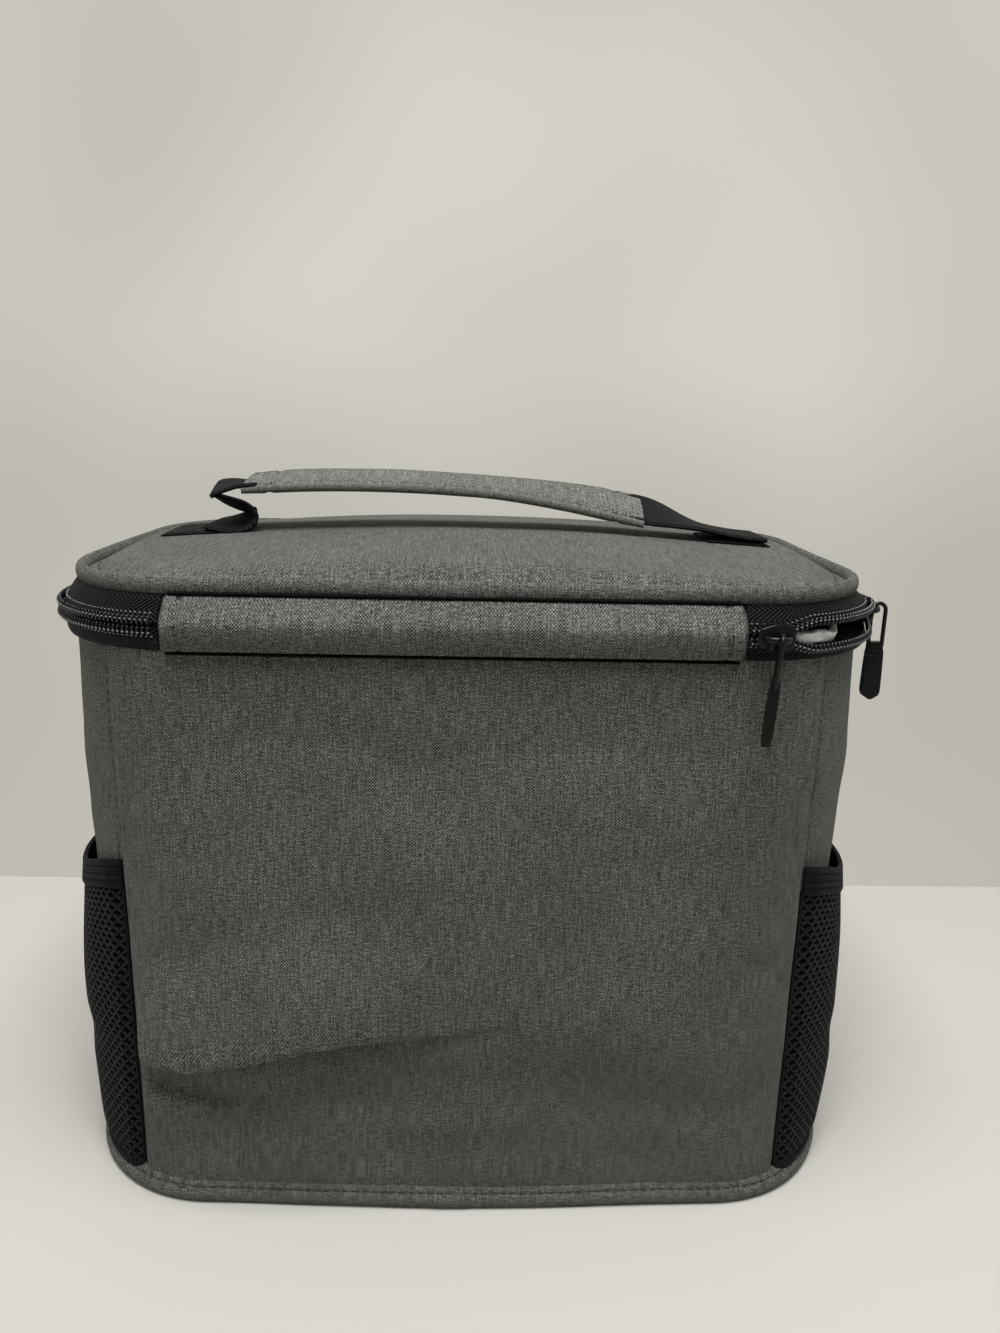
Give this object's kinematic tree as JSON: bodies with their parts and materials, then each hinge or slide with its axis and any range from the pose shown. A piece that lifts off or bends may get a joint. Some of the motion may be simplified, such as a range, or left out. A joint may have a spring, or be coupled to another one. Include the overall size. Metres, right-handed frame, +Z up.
{
  "type": "lunch box",
  "caption": "Soft insulated lunch bag with a zipped lid on a fabric hinge strip, foam-lined walls, mesh side pockets and a strap handle.",
  "frame": {"origin": "centre of the base's underside, on the surface the bag stands on", "axes": "+Z up, +X along the long side with the parked zip sliders, -Y towards the hinge strip"},
  "size_m": [0.2745, 0.1744, 0.2325],
  "materials": {
    "bag_fabric": "heather plain weave",
    "webbing": "ribbed webbing",
    "zip_tape": "woven tape",
    "zip_coil": "gloss nylon",
    "slider_metal": "black enamel",
    "pull_grip": "satin moulded",
    "mesh": "spacer mesh",
    "elastic": "ribbed elastic",
    "foam": "closed-cell foam",
    "lining": "coated film"
  },
  "bodies": {
    "bag": {"base_panel": "bag_fabric", "base_foam": "foam", "base_piping": "bag_fabric", "back_panel": "bag_fabric", "front_panel": "bag_fabric", "left_gusset": "bag_fabric", "right_gusset": "bag_fabric", "back_foam": "foam", "front_foam": "foam", "left_foam": "foam", "right_foam": "foam", "body_lining": "lining", "rim_binding": "webbing", "left_pocket_mesh": "mesh", "right_pocket_mesh": "mesh", "left_pocket_elastic": "elastic", "right_pocket_elastic": "elastic", "lower_zip_tape": "zip_tape", "lower_zip_coil": "zip_coil", "upper_tape_fixed_end": "zip_tape", "upper_coil_fixed_end": "zip_coil", "hinge_strip": "bag_fabric"},
    "lid": {"lid_panel": "bag_fabric", "lid_foam": "foam", "lid_lining": "lining", "lid_piping": "bag_fabric", "lid_seam_tape": "webbing", "upper_zip_tape": "zip_tape", "upper_zip_coil": "zip_coil", "handle_anchor_left": "webbing", "handle_anchor_right": "webbing", "handle_leg_left": "webbing", "handle_leg_right": "webbing"},
    "handle": {"handle_sleeve": "bag_fabric", "handle_core": "webbing"},
    "slider_a": {"slider_a_body": "slider_metal"},
    "pull_a": {"pull_a_wire": "slider_metal", "pull_a_tab": "pull_grip"},
    "slider_b": {"slider_b_body": "slider_metal"},
    "pull_b": {"pull_b_wire": "slider_metal", "pull_b_tab": "pull_grip"}
  },
  "joints": [
    {"name": "lid_hinge", "type": "hinge", "parent": "bag", "child": "lid", "pos_m": [0, -0.084, 0.194], "axis": [1, 0, 0], "range_deg": [0, 110]},
    {"name": "handle_lift", "type": "slide", "parent": "lid", "child": "handle", "axis": [0, 0, 1], "range_m": [0, 0.018]},
    {"name": "slider_a_travel", "type": "hinge", "parent": "bag", "child": "slider_a", "pos_m": [0.083, -0.036, 0.194], "axis": [0, 0, 1], "range_deg": [0, 60]},
    {"name": "slider_b_travel", "type": "slide", "parent": "bag", "child": "slider_b", "axis": [0, 1, 0], "range_m": [0, 0.066]},
    {"name": "pull_a_swing", "type": "hinge", "parent": "slider_a", "child": "pull_a", "pos_m": [0.0875, -0.0874, 0.194], "axis": [0.9962, 0.0872, 0], "range_deg": [-100, 0]},
    {"name": "pull_b_swing", "type": "hinge", "parent": "slider_b", "child": "pull_b", "pos_m": [0.1346, -0.036, 0.194], "axis": [0, -1, 0], "range_deg": [0, 100]}
  ]
}
